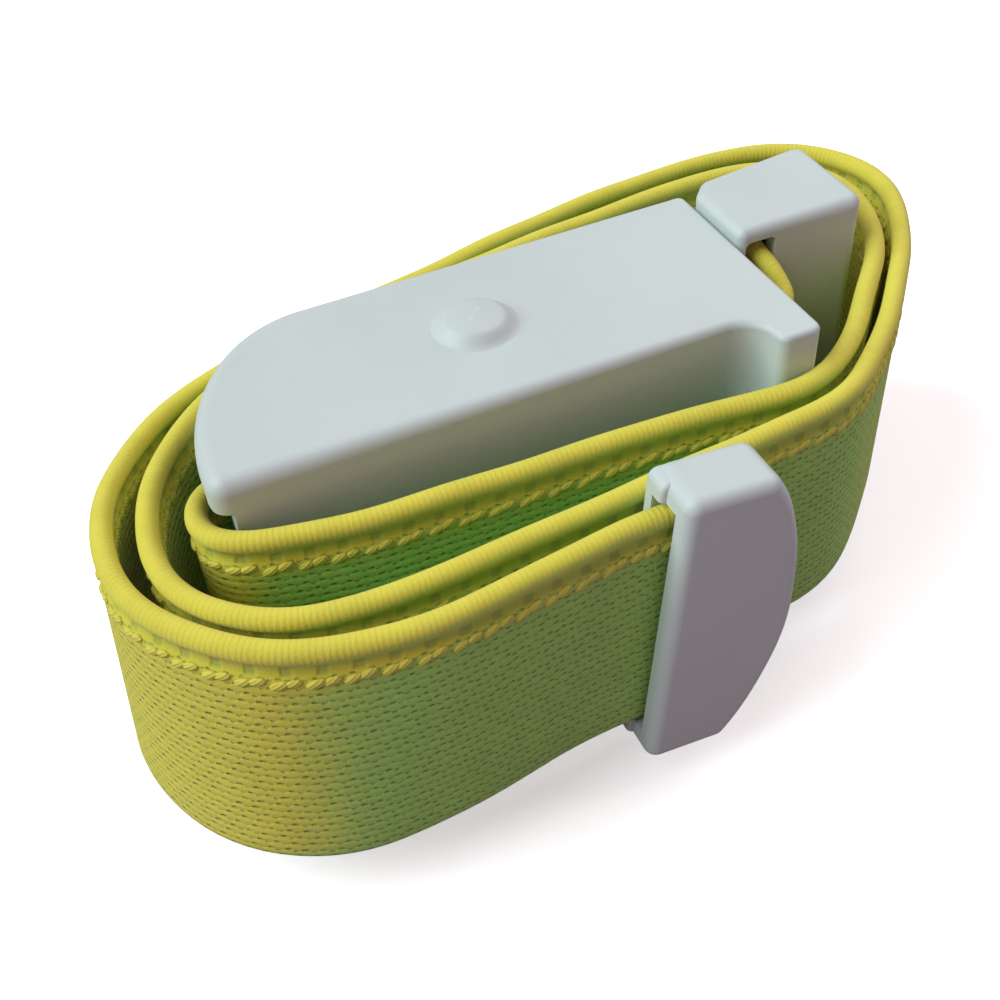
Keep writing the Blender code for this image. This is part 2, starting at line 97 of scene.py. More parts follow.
# The webbing and its tab; the tab's own plan has its left edge near zero and its middle at zero
STRAP_WIDTH = 25.0
STRAP_HALF = STRAP_WIDTH / 2.0
STRAP_PLY = 1.0                     # half the thickness that the webbing takes up
CHANNEL_Y = -5.3
TAB_X = 5.4
TAB_HEIGHT = 31.2
TAB_FRONT_Y = -27.3
TAB_BACK_Y = -21.3
TAB_LEAN = math.radians(4.8)
TAB_RISE = 0.8
TAB_LEFT = -0.9
TAB_RIM = 1.5                       # round the plate that closes the tab's back
TAB_LIP = 0.5                       # how far the back of the tab stands proud on the left
TAB_EDGE = [(7.3, 15.6), (8.7, 13.4), (9.7, 11.0), (10.8, 7.2), (11.4, 2.8), (11.6, -1.5),
            (11.1, -5.5), (9.8, -10.0), (8.4, -13.2), (6.9, -15.6)]
RIVET = (8.2, 5.0)
RIVET_BORE = 0.9
RIVET_REACH = 25.6                  # how far forward the rivets' bores go
BEHIND_TAB = 18.0                   # clear of the tab's back
TAB_CORNER = 1.3
TAB_SOFTNESS = 1.15                 # rounding of the tab's front and back rims
TAB_LIP_CORNER = 0.9
INNER_RISE = 1.2
STRAP_PLAY = 0.6                    # room above and below the webbing where it leaves the housing
# the pocket that holds the end of the webbing: along it, up and down, and back to front
POCKET_LEFT, POCKET_RIGHT = -3.0, 5.0
POCKET_LOW, POCKET_HIGH = -12.9, 13.4
POCKET_BACK, POCKET_FRONT = 22.7, 25.5

MID_Z = (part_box("plug")[0].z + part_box("plug")[1].z) / 2.0 / MM
CAVITY_HALF = HOUSING_HEIGHT / 2.0 - CHEEK
LEVER_HALF = CAVITY_HALF - GAP
square_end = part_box("housing")[1]
PLAN_ZERO = Vector((square_end.x - END_X * MM, square_end.y - BACK_Y * MM, 0.0))

KEY_SIDE = (-0.72, 0.12, 0.68)      # where the main light stands
FAR_SIDE = (0.72, 0.25, 0.65)       # where the second light stands
PAINTED_LIGHT_SIDE = (-0.80, -0.10, 0.60)    # webbing that faces this way gets painted light in yellow, the rest painted shade in green
PAINTED_HALF_LIGHT_SIDE = (0.88, 0.12, 0.45)  # and webbing that faces this way gets painted light halfway between


# ------------------------------------------------------------------ finishes: the tools

class Wire:
    """One value running between nodes; sums on it add Math nodes."""

    def __init__(self, bench, socket):
        self.bench = bench
        self.socket = socket

    def _math(self, operation, first, second):
        return self.bench.node("ShaderNodeMath", {"operation": operation}, {0: first, 1: second})

    def __add__(self, other):
        return self._math("ADD", self, other)

    def __radd__(self, other):
        return self._math("ADD", other, self)

    def __sub__(self, other):
        return self._math("SUBTRACT", self, other)

    def __rsub__(self, other):
        return self._math("SUBTRACT", other, self)

    def __mul__(self, other):
        return self._math("MULTIPLY", self, other)

    def __rmul__(self, other):
        return self._math("MULTIPLY", other, self)

    def __truediv__(self, other):
        return self._math("DIVIDE", self, other)

    def __pow__(self, other):
        return self._math("POWER", self, other)


class Bench:
    """Where one finish is mixed: a material, its shader, and the nodes that feed it."""

    def __init__(self, name):
        self.finish = bpy.data.materials.new(name)
        self.finish.use_nodes = True
        self.tree = self.finish.node_tree
        self.shader = self.tree.nodes["Principled BSDF"]

    def node(self, kind, settings=None, inputs=None, out=0):
        made = self.tree.nodes.new(kind)
        for name, value in (settings or {}).items():
            setattr(made, name, value)
        for name, value in (inputs or {}).items():
            self.feed(made.inputs[name], value)
        return Wire(self, made.outputs[out])

    def feed(self, socket, value):
        if isinstance(value, Wire):
            self.tree.links.new(value.socket, socket)
        else:
            socket.default_value = value

    def shade(self, **values):
        """Sets the shader's sockets; an underscore in a name stands for a space."""
        for name, value in values.items():
            self.feed(self.shader.inputs[name.replace("_", " ")], value)

    # the few steps that every finish here is made of
    def sine(self, value):
        return self.node("ShaderNodeMath", {"operation": "SINE"}, {0: value})

    def whole(self, value):
        return self.node("ShaderNodeMath", {"operation": "FLOOR"}, {0: value})

    def part(self, value):
        return self.node("ShaderNodeMath", {"operation": "FRACT"}, {0: value})

    def size(self, value):
        return self.node("ShaderNodeMath", {"operation": "ABSOLUTE"}, {0: value})

    def root(self, value):
        return self.node("ShaderNodeMath", {"operation": "SQRT"}, {0: value})

    def step(self, value, low, high):
        """0 at low, 1 at high, smooth between."""
        return self.node("ShaderNodeMapRange", {"interpolation_type": "SMOOTHSTEP"},
                         {"Value": value, "From Min": low, "From Max": high})

    def mix(self, share, first, second):
        return self.node("ShaderNodeMix", {"data_type": "RGBA"},
                         {0: share, 6: first, 7: second}, out=2)

    def dim(self, colour, share):
        """A colour times a grey value."""
        return self.node("ShaderNodeVectorMath", {"operation": "SCALE"},
                         {0: colour, "Scale": share})

    def noise(self, where, scale, detail=2.0, rough=0.5):
        return self.node("ShaderNodeTexNoise", None,
                         {"Vector": where, "Scale": scale, "Detail": detail,
                          "Roughness": rough})

    def place(self):
        return self.node("ShaderNodeTexCoord", out=3)

    def carried(self, name):
        """A value that the mesh carries at each of its points."""
        return self.node("ShaderNodeAttribute", {"attribute_name": name}, out=2)

    def join(self, x, y, z=0.0):
        return self.node("ShaderNodeCombineXYZ", None, {0: x, 1: y, 2: z})

    def facing(self, direction):
        """How far the surface turns towards a direction in the room, -1 to 1."""
        normal = self.node("ShaderNodeNewGeometry", out=1)
        unit = tuple(Vector(direction).normalized())
        return self.node("ShaderNodeVectorMath", {"operation": "DOT_PRODUCT"},
                         {0: normal, 1: unit}, out=1)

    def bump(self, height, distance, strength=1.0):
        return self.node("ShaderNodeBump", None,
                         {"Height": height, "Distance": distance, "Strength": strength})


class SkyBench(Bench):
    """The same bench, set up for the light that comes from all round."""

    def __init__(self, name):
        self.finish = bpy.data.worlds.new(name)
        self.finish.use_nodes = True
        self.tree = self.finish.node_tree
        self.shader = self.tree.nodes["Background"]


def rgb(red, green, blue):
    return (red, green, blue, 1.0)


# ------------------------------------------------------------------ finishes: the recipes

def moulded_plastic(name, colour, seed):
    """Cool white satin moulding: faint flow marks, fine spark grain, paler edges that are painted
    edge highlight and light rubbed wear.
    """
    bench = Bench(name)
    shifted = bench.node("ShaderNodeVectorMath", {"operation": "ADD"},
                         {0: bench.place(), 1: (seed * 0.037, seed * 0.011, seed * 0.023)})
    flow = bench.noise(shifted, 38.0, 3.0)
    spark = bench.noise(shifted, 2600.0, 2.0)
    grime = bench.noise(shifted, 150.0, 4.0, 0.6)
    # paler edges found by pointiness: painted edge highlight, together with light rubbed wear
    edge = bench.step(bench.node("ShaderNodeNewGeometry", out=7), 0.51, 0.60)
    body = bench.mix(bench.step(flow, 0.35, 0.65), rgb(*[c * 0.975 for c in colour]),
                     rgb(*[min(1.0, c * 1.02) for c in colour]))
    body = bench.mix(bench.step(grime, 0.58, 0.75) * 0.16, body,
                     rgb(*[c * 0.90 for c in colour]))
    rubbed_and_highlit_edge = rgb(*[min(1.0, c * 1.07) for c in colour])
    bench.shade(Base_Color=bench.mix(edge * 0.6, body, rubbed_and_highlit_edge),
                Roughness=0.40 + spark * 0.10 - edge * 0.06 + grime * 0.05,
                Normal=bench.bump(spark * 0.6 + flow * 0.8, 0.00003, 0.5),
                IOR=1.49)
    return bench.finish


# webbing colours: the yellows are painted light for threads that face the lights, the greens
# painted shade for the rest
PAINTED_LIT_YELLOW = (0.660, 0.620, 0.055)
PAINTED_LIT_PALE_YELLOW = (0.760, 0.700, 0.095)
PAINTED_SHADE_LEAF = (0.350, 0.700, 0.150)
# painted shade in the webbing's holes and notches, one colour for the lit side and one for the
# shaded side
PAINTED_HOLE_SHADE_LIT = (0.200, 0.380, 0.090)
PAINTED_HOLE_SHADE = (0.100, 0.190, 0.070)
PAINTED_SHADE_OLIVE = (0.430, 0.680, 0.095)


def webbing_finish(name):
    """Woven elastic: a ribbed upper roll, a notched groove, and a body of staggered loops.

    The mesh carries, in millimetres, how far along and how far across the strap a point is.
    """
    bench = Bench(name)
    along = bench.carried("along")
    across = bench.carried("across")
    flat_place = bench.join(along, across)
    drift = bench.noise(flat_place, 0.35, 2.0)
    wander = bench.noise(flat_place, 1.1, 2.0) - 0.5
    fuzz = bench.noise(flat_place, 7.0, 3.0, 0.65)
    # painted light: the webbing turns yellow where it faces the lights and towards its upper
    # edge, and stays green shade elsewhere
    lit = (bench.step(bench.facing(PAINTED_LIGHT_SIDE), 0.20, 0.60)
           + bench.step(bench.facing(PAINTED_HALF_LIGHT_SIDE), 0.30, 0.70) * 0.5
           + bench.step(across, 7.5, 10.2) * 0.55)

    roll = bench.step(across, 10.35, 10.75)
    groove = bench.step(across, 9.55, 9.85) * (1.0 - roll)
    body = 1.0 - bench.step(across, 9.45, 9.75)

    # body: rows of loops, every second row shifted by half a loop, small holes between that are
    # darkened with painted shade
    row_pitch = 0.86
    loop_pitch = 1.32
    hole_along, hole_across = 4.4, 3.2
    row = across / row_pitch + wander * 0.40
    shifted = along / loop_pitch + bench.whole(row) * 0.5 + across * 0.07 + wander * 0.50
    in_loop = bench.part(shifted) - 0.5
    in_row = bench.part(row) - 0.5
    from_hole = bench.root((in_loop * hole_along) ** 2.0
                           + ((0.5 - bench.size(in_row)) * hole_across) ** 2.0)
    hole = 1.0 - bench.step(from_hole, 0.30, 1.10)
    deep_enough = bench.step(bench.noise(flat_place, 0.9, 1.0), 0.30, 0.62)
    hole = hole * (0.35 + deep_enough * 0.65)
    crown = 1.0 - bench.step(bench.size(in_row), 0.10, 0.50)

    # roll: fine ribs across it; groove: notches between the threads that cross it
    rib_pitch = 0.48
    rib = bench.sine((along + wander * 0.30) * (2.0 * math.pi / rib_pitch)) * 0.5 + 0.5
    notch = bench.step(bench.sine((along + wander * 0.30) * (2.0 * math.pi / STITCH_PITCH)),
                       0.15, 0.90)

    height = (body * (crown * 0.25 - hole * 0.9) + roll * rib * 0.12 - groove * notch * 0.6
              + fuzz * 0.30)
    # painted shade: the holes and the groove's notches are darkened
    painted_recess_shade = body * hole * 0.95 + groove * (0.12 + notch * 0.45)
    # painted highlight: the roll's ribs and the loops' crowns are brightened
    painted_crown_highlight = roll * (0.50 + rib * 0.20) + body * crown * 0.50
    shade_side = bench.mix(painted_crown_highlight * 0.55 + (fuzz - 0.5) * 0.9, rgb(*PAINTED_SHADE_LEAF), rgb(*PAINTED_SHADE_OLIVE))
    lit_side = bench.mix(painted_crown_highlight * 0.7 + (fuzz - 0.5) * 0.6, rgb(*PAINTED_LIT_YELLOW), rgb(*PAINTED_LIT_PALE_YELLOW))
    # lit and shaded copies of the thread and hole colours, picked by the painted light
    thread = bench.mix(lit, shade_side, lit_side)
    painted_recess_colour = bench.mix(lit, rgb(*PAINTED_HOLE_SHADE), rgb(*PAINTED_HOLE_SHADE_LIT))
    colour = bench.mix(painted_recess_shade * 0.80, thread, painted_recess_colour)
    colour = bench.dim(colour, 0.90 + drift * 0.20)
    bench.shade(Base_Color=colour,
                Roughness=0.86 - painted_crown_highlight * 0.12 + painted_recess_shade * 0.08,
                Normal=bench.bump(height, 0.00022, 0.85),
                Sheen_Weight=0.12, Sheen_Roughness=0.6, Specular_IOR_Level=0.25)
    return bench.finish


def stitch_finish(name):
    """Twisted yarn of the seam along the upper edge."""
    bench = Bench(name)
    along = bench.carried("along")
    across = bench.carried("across")
    flat_place = bench.join(along, across)
    fuzz = bench.noise(flat_place, 6.0, 3.0, 0.6)
    ply = bench.sine((along * 0.8 - across) * (2.0 * math.pi / 0.36)) * 0.5 + 0.5
    # painted light: seam yarn that faces the lights is yellow, the rest is green painted shade
    lit = bench.step(bench.facing(PAINTED_LIGHT_SIDE), 0.0, 0.55)
    thread = bench.mix(lit, rgb(0.520, 0.640, 0.090), rgb(0.700, 0.640, 0.080))
    colour = bench.mix(ply * 0.15 + fuzz * 0.30, thread, rgb(0.720, 0.660, 0.120))
    bench.shade(Base_Color=colour,
                Roughness=0.72 + fuzz * 0.15,
                Normal=bench.bump(ply * 0.6 + fuzz * 0.4, 0.00008, 0.8),
                Sheen_Weight=0.15, Sheen_Roughness=0.5, Specular_IOR_Level=0.3)
    return bench.finish


def steel(name, colour, roughness, brushed):
    """Stamped or drawn steel with a fine directional brush and a few darker specks."""
    bench = Bench(name)
    stretched = bench.node("ShaderNodeVectorMath", {"operation": "MULTIPLY"},
                           {0: bench.place(), 1: brushed})
    brush = bench.noise(stretched, 900.0, 3.0)
    speck = bench.step(bench.noise(bench.place(), 420.0, 2.0), 0.62, 0.74)
    clean = bench.mix(brush * 0.5, rgb(*colour), rgb(*[c * 0.82 for c in colour]))
    bench.shade(Base_Color=bench.mix(speck * 0.35, clean, rgb(0.16, 0.14, 0.12)),
                Roughness=roughness + brush * 0.18 + speck * 0.2,
                Normal=bench.bump(brush, 0.00001, 0.6),
                Metallic=1.0)
    return bench.finish


# ------------------------------------------------------------------ shapes: the tools

def add_piece(name, mesh, finish=None):
    item = bpy.data.objects.new(name, mesh)
    bpy.context.scene.collection.objects.link(item)
    if finish is not None:
        mesh.materials.append(finish)
    return item


def set_in_frame(shape, name):
    """Turns a shape drawn in millimetres about the pivot into a mesh in the frame."""
    bmesh.ops.remove_doubles(shape, verts=shape.verts, dist=1e-4)
    bmesh.ops.recalc_face_normals(shape, faces=shape.faces)
    mesh = bpy.data.meshes.new(name)
    shape.to_mesh(mesh)
    shape.free()
    mesh.transform(Matrix.Translation(PLAN_ZERO) @ Matrix.Scale(MM, 4))
    return mesh


def arc(centre, radii, start, end, count):
    points = []
    for step in range(count + 1):
        angle = math.radians(start + (end - start) * step / count)
        points.append((centre[0] + radii[0] * math.cos(angle),
                       centre[1] + radii[1] * math.sin(angle)))
    return points


def rounded_outline(corners, count=8):
    """A closed outline from (x, y, radius) corners; radius 0 keeps the point as it is."""
    points = []
    for i, (x, y, radius) in enumerate(corners):
        here = Vector((x, y))
        if radius == 0.0:
            points.append(here)
            continue
        back = (Vector(corners[i - 1][:2]) - here).normalized()
        ahead = (Vector(corners[(i + 1) % len(corners)][:2]) - here).normalized()
        half = back.angle(ahead) / 2.0
        centre = here + (back + ahead).normalized() * radius / math.sin(half)
        first = here + back * radius / math.tan(half) - centre
        last = here + ahead * radius / math.tan(half) - centre
        begin = math.atan2(first.y, first.x)
        turn = (math.atan2(last.y, last.x) - begin + math.pi) % (2.0 * math.pi) - math.pi
        for step in range(count + 1):
            angle = begin + turn * step / count
            points.append(centre + Vector((math.cos(angle), math.sin(angle))) * radius)
    return [p for k, p in enumerate(points) if (p - points[k - 1]).length > 1e-4]


def inset_directions(outline):
    """Which way each outline point moves when the outline shrinks by one millimetre."""
    points = np.array([tuple(p) for p in outline], float)
    ahead = np.roll(points, -1, axis=0) - points
    ahead /= np.linalg.norm(ahead, axis=1)[:, None]
    back = np.roll(ahead, 1, axis=0)
    inward = np.stack([-(ahead + back)[:, 1], (ahead + back)[:, 0]], axis=1)
    inward /= np.linalg.norm(inward, axis=1)[:, None]
    square = np.stack([-ahead[:, 1], ahead[:, 0]], axis=1)
    return points, inward / np.maximum((inward * square).sum(axis=1), 0.35)[:, None]


def soft_prism(name, outline, z_low, z_high, edge, count=6, turn=None):
    """A prism whose rims are rounded; edge is one radius, or one for each outline point."""
    points, inward = inset_directions(outline)
    radius = np.full(len(points), edge) if np.isscalar(edge) else np.asarray(edge, float)
    levels = []
    for step in range(count, -1, -1):
        angle = math.pi / 2.0 * step / count
        levels.append((1.0 - math.cos(angle), 1.0 - math.sin(angle), -1))
    levels += [(a, b, 1) for a, b, side in reversed(levels)]
    shape = bmesh.new()
    rings = []
    for inset, drop, side in levels:
        ring = []
        for place, move, soft in zip(points, inward, radius):
            spot = place + move * soft * inset
            z = z_high - soft * drop if side > 0 else z_low + soft * drop
            ring.append(shape.verts.new((spot[0], spot[1], z)))
        rings.append(ring)
    total = len(points)
    for first, second in zip(rings, rings[1:]):
        for k in range(total):
            m = (k + 1) % total
            shape.faces.new((first[k], first[m], second[m], second[k]))
    shape.faces.new(rings[0][::-1])
    shape.faces.new(rings[-1])
    if turn is not None:
        bmesh.ops.transform(shape, matrix=turn, verts=shape.verts)
    return set_in_frame(shape, name)


def block(name, low, high, edge=0.0):
    corners = [(low[0], low[1]), (high[0], low[1]), (high[0], high[1]), (low[0], high[1])]
    if edge == 0.0:
        shape = bmesh.new()
        rings = [[shape.verts.new((x, y, z)) for x, y in corners] for z in (low[2], high[2])]
        for k in range(4):
            m = (k + 1) % 4
            shape.faces.new((rings[0][k], rings[0][m], rings[1][m], rings[1][k]))
        shape.faces.new(rings[0][::-1])
        shape.faces.new(rings[1])
        return set_in_frame(shape, name)
    outline = rounded_outline([(x, y, edge + 0.03) for x, y in corners], 5)
    return soft_prism(name, outline, low[2], high[2], edge, 4)


def rod(name, x, y, z_low, z_high, radius, edge=0.0, sides=48):
    outline = arc((x, y), (radius, radius), 0.0, 360.0, sides)[:-1]
    if edge == 0.0:
        shape = bmesh.new()
        bmesh.ops.create_cone(shape, cap_ends=True, segments=sides, radius1=radius,
                              radius2=radius, depth=z_high - z_low)
        bmesh.ops.translate(shape, vec=(x, y, (z_high + z_low) / 2.0), verts=shape.verts)
        return set_in_frame(shape, name)
    return soft_prism(name, outline, z_low, z_high, edge, 3)


def carve(target, mesh, operation="DIFFERENCE"):
    tool = add_piece(target.name + "_tool", mesh)
    tool.hide_render = True
    step = target.modifiers.new("carve", "BOOLEAN")
    step.operation = operation
    step.object = tool
    return tool


def settle(item):
    """Works the modifiers into the mesh and clears the tools they used."""
    graph = bpy.context.evaluated_depsgraph_get()
    made = bpy.data.meshes.new_from_object(item.evaluated_get(graph), depsgraph=graph)
    tools = [step.object for step in item.modifiers if step.type == "BOOLEAN"]
    item.modifiers.clear()
    item.data = made
    for tool in tools:
        bpy.data.objects.remove(tool, do_unlink=True)


def finish_moulding(item, break_edge=0.25):
    """Breaks the cut edges a little and smooths the shading across the rounded ones."""
    settle(item)
    shape = bmesh.new()
    shape.from_mesh(item.data)
    bmesh.ops.remove_doubles(shape, verts=shape.verts, dist=0.02 * MM)
    bmesh.ops.dissolve_limit(shape, angle_limit=math.radians(0.4), verts=shape.verts,
                             edges=shape.edges)
    shape.to_mesh(item.data)
    shape.free()
    if break_edge:
        step = item.modifiers.new("break_edges", "BEVEL")
        step.width = break_edge * MM
        step.segments = 3
        step.limit_method = "ANGLE"
        step.angle_limit = math.radians(48.0)
        step.use_clamp_overlap = True
        settle(item)
    mesh = item.data
    mesh.polygons.foreach_set("use_smooth", [True] * len(mesh.polygons))
    mesh.set_sharp_from_angle(angle=math.radians(42.0))
    step = item.modifiers.new("even_shading", "WEIGHTED_NORMAL")
    step.keep_sharp = True
    settle(item)


# ------------------------------------------------------------------ housing and lever

def nose_arc(start, end, count, inset=0.0):
    radii = (NOSE_RADII[0] - inset, NOSE_RADII[1] - inset)
    return arc(NOSE_CENTRE, radii, start, end, count)


def housing_outline():
    tip_y = FRONT_Y - FLANGE_REACH
    root_x = END_X - FLANGE_THICK
    corners = [(END_X, tip_y, 1.0), (END_X, BACK_Y, 0.8)]
    corners += [(x, y, 0.0) for x, y in nose_arc(90.0, 180.0, 56)]
    corners += [(-END_X, FRONT_Y, 1.6), (root_x, FRONT_Y, 3.0), (root_x, tip_y, 1.0)]
    return rounded_outline(corners)


def boss_shape(side):
    """The low dome over the pivot, turned on a soft profile that runs out into the cheek."""
    profile = []
    for step in range(25):
        r = BOSS_RADIUS * step / 24.0
        t = min(1.0, max(0.0, (r - 2.5) / 1.7))
        crown = BOSS_HEIGHT * (1.0 - 0.45 * (min(r, 3.6) / 4.0) ** 2)
        profile.append((r, crown * (1.0 - t * t * (3.0 - 2.0 * t)) - 0.04 * t))
    profile += [(BOSS_RADIUS, -0.7), (0.0, -0.7)]
    shape = bmesh.new()
    turns = 64
    face = MID_Z + side * HOUSING_HEIGHT / 2.0
    rings = []
    for r, h in profile:
        rings.append([shape.verts.new((r * math.cos(2 * math.pi * k / turns),
                                       r * math.sin(2 * math.pi * k / turns),
                                       face + side * h)) for k in range(turns)])
    for first, second in zip(rings, rings[1:]):
        for k in range(turns):
            m = (k + 1) % turns
            shape.faces.new((first[k], first[m], second[m], second[k]))
    return set_in_frame(shape, "boss")


def make_housing(finish):
    half = HOUSING_HEIGHT / 2.0
    outline = housing_outline()
    rims = [1.45 - 0.90 * min(1.0, max(0.0, (p[0] - 10.0) / 13.0)) for p in outline]
    housing = add_piece("housing_shell", soft_prism("housing_shell", outline, MID_Z - half,
                                                    MID_Z + half, rims), finish)
    for side in (-1, 1):
        carve(housing, boss_shape(side), "UNION")
    carve(housing, block("channel", (-40, FRONT_Y + WALL, MID_Z - CAVITY_HALF),
                         (40, 40, MID_Z + CAVITY_HALF)))
    exit_half = STRAP_HALF + STRAP_PLAY
    exit_middle = MID_Z + INNER_RISE
    carve(housing, block("strap_exit", (-40, FRONT_Y - 2.0, exit_middle - exit_half),
                         (STRAP_EXIT_X, 40, exit_middle + exit_half)))
    reach = half - 0.2
    carve(housing, rod("pin_bore", 0, 0, MID_Z - reach, MID_Z + reach, PIN_RADIUS + GAP))
    finish_moulding(housing)
    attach(housing, "buckle")
    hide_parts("housing")
    return housing


def make_lever(finish):
    outer = nose_arc(90.0, LEVER_TIP_ANGLE, 36)
    inner = nose_arc(LEVER_TIP_ANGLE, 90.0, 36, inset=WALL)
    end = END_X - 0.4
    corners = [(end, BACK_Y - WALL, 0.5), (end, BACK_Y, 0.7)]
    corners += [(x, y, 0.0) for x, y in outer + inner]
    lever = add_piece("lever_plate", soft_prism("lever_plate", rounded_outline(corners),
                                                MID_Z - LEVER_HALF, MID_Z + LEVER_HALF, 0.45, 4),
                      finish)
    under = BACK_Y - WALL + 0.5
    jaw_block = [(-3.0, 0.0, 0.3), (JAW[0], 0.0, 0.3), (JAW[0], JAW_Y, 0.3),
                 (JAW[1], JAW_Y, 0.3), (JAW[1], under, 0.3), (-3.0, under, 0.3)]
    carve(lever, soft_prism("jaw_block", rounded_outline(jaw_block, 4), MID_Z - CORE_HALF,
                            MID_Z + CORE_HALF, 0.25, 3), "UNION")
    carve(lever, rod("hub", 0, 0, MID_Z - LEVER_HALF + 0.8, MID_Z + LEVER_HALF - 0.8,
                     HUB_RADIUS, 0.25), "UNION")
    # three low grip ribs across the press end
    for angle in RIB_ANGLES:
        foot = nose_arc(angle, angle, 1, inset=0.68)[0]
        carve(lever, rod("grip_rib", foot[0], foot[1], MID_Z - RIB_HALF, MID_Z + RIB_HALF,
                         RIB_RADIUS, 0.35, 24), "UNION")
    carve(lever, rod("hub_bore", 0, 0, MID_Z - 20, MID_Z + 20, PIN_RADIUS + GAP))
    finish_moulding(lever, 0.15)
    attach(lever, "press_lever")
    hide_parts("lever")
    return lever


# ------------------------------------------------------------------ plug

def make_plug(finish):
    corners = [(PLUG_X, 0.0, 0.9), (PLUG_END_X, 0.0, 1.4), (PLUG_END_X, PLUG_BACK_Y[1], 1.2),
               (PLUG_X + 1.6, PLUG_BACK_Y[0], 1.5), (PLUG_X, PLUG_BACK_Y[0] - 1.8, 1.2)]
    outline = rounded_outline(corners)
    rims = [0.85 + 0.40 * min(1.0, max(0.0, (p[0] - PLUG_X) / 4.0)) * max(0.0, 1.0 - p[1] / 4.0)
            for p in outline]
    plug = add_piece("plug_shell", soft_prism("plug_shell", outline, 0.0, PLUG_HEIGHT, rims),
                     finish)
    slot_half = PLUG_HEIGHT / 2.0 - PLUG_WALL
    tongue = [(TONGUE_TIP, 2.2), (TONGUE_TIP + 1.0, 1.4), (PLUG_X + 1.0, 1.4),
              (PLUG_X + 1.0, 6.5), (TONGUE_TIP + 2.0, 6.5), (TONGUE_TIP, 5.0)]
    carve(plug, block("slot", (SLOT[0], -1.0, MID_Z - slot_half),
                      (SLOT[1], 3.0, MID_Z + slot_half), 0.6))
    carve(plug, block("hollow", (SLOT[0], 1.6, MID_Z - slot_half),
                      (PLUG_END_X - 1.6, 8.6, MID_Z + slot_half), 0.6))
    carve(plug, soft_prism("tongue", tongue, MID_Z - TONGUE_HALF, MID_Z + TONGUE_HALF, 0.3, 3),
          "UNION")
    carve(plug, block("catch_groove", (16.2, 4.6, MID_Z - CATCH_HALF),
                      (20.4, 8.0, MID_Z + CATCH_HALF)))
    reach = slot_half + 0.9
    carve(plug, rod("bar_bore", BAR[0], BAR[1], MID_Z - reach, MID_Z + reach, BAR_RADIUS + GAP))
    finish_moulding(plug, 0.2)
    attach(plug, "plug_half")
    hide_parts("plug")
    return plug


# ------------------------------------------------------------------ tab

def tab_outline(inset=0.0):
    """Straight left edge; the right edge swells to its widest just below the middle."""
    half = TAB_HEIGHT / 2.0 - inset
    right = [(x - inset, z) for x, z in smooth_path(TAB_EDGE, 1.0) if abs(z) < half - 0.9]
    top, foot = TAB_EDGE[0][0] - inset, TAB_EDGE[-1][0] - inset
    left = TAB_LEFT + inset
    corners = [(left, half, TAB_CORNER), (left, -half, TAB_CORNER), (foot, -half, TAB_CORNER)]
    corners += [(x, z, 0.0) for x, z in right[::-1]]
    corners += [(top, half, TAB_CORNER)]
    return rounded_outline(corners)


def tab_place():
    """From the tab's own plan, drawn flat, to where it hangs on the webbing."""
    upright = Matrix.Rotation(math.pi / 2.0, 4, "X")
    return (Matrix.Translation((TAB_X, 0.0, MID_Z + TAB_RISE))
            @ Matrix.Rotation(TAB_LEAN, 4, "Y") @ upright)


def make_tab(finish):
    """One moulding bridges the end of the webbing from front to back; a plate closes it."""
    place = tab_place()
    front = add_piece("tab_front_shell",
                      soft_prism("tab_front_shell", tab_outline(), -TAB_BACK_Y, -TAB_FRONT_Y,
                                 TAB_SOFTNESS, 6, place), finish)
    lip_half = TAB_HEIGHT / 2.0 - 0.35
    lip_left = TAB_LEFT - TAB_LIP
    lip_right = 2.6
    lip = rounded_outline([(x, z, TAB_LIP_CORNER) for x, z in
                           ((lip_left, lip_half), (lip_left, -lip_half),
                            (lip_right, -lip_half), (lip_right, lip_half))], 5)
    carve(front, soft_prism("lip", lip, -TAB_BACK_Y + 0.1, 24.0, 0.45, 4, place), "UNION")
    pocket = rounded_outline([(POCKET_LEFT, POCKET_HIGH, 0.0), (POCKET_LEFT, POCKET_LOW, 0.0),
                              (POCKET_RIGHT, POCKET_LOW, 0.8),
                              (POCKET_RIGHT, POCKET_HIGH, 0.8)], 4)
    carve(front, soft_prism("pocket", pocket, POCKET_BACK, POCKET_FRONT, 0.02, 1, place))
    seat = tab_outline(TAB_RIM)
    carve(front, soft_prism("plate_seat", seat, BEHIND_TAB, POCKET_BACK + 0.05, 0.02, 1,
                            place))
    for z in (RIVET[1], -RIVET[1]):
        carve(front, bore(RIVET[0], z, BEHIND_TAB, RIVET_REACH))
    finish_moulding(front, 0.16)
    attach(front, "buckle")
    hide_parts("tab_front")

    back = add_piece("tab_back_shell",
                     soft_prism("tab_back_shell", tab_outline(TAB_RIM + GAP), -TAB_BACK_Y,
                                POCKET_BACK - GAP, 0.3, 4, place), finish)
    for z in (RIVET[1], -RIVET[1]):
        carve(back, bore(RIVET[0], z, -TAB_BACK_Y + 0.4, RIVET_REACH))
    finish_moulding(back, 0.12)
    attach(back, "buckle")
    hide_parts("tab_back")


def bore(x, z, y_low, y_high):
    outline = arc((x, z), (RIVET_BORE, RIVET_BORE), 0.0, 360.0, 24)[:-1]
    return soft_prism("rivet_bore", outline, y_low, y_high, 0.02, 1, tab_place())


# ------------------------------------------------------------------ webbing

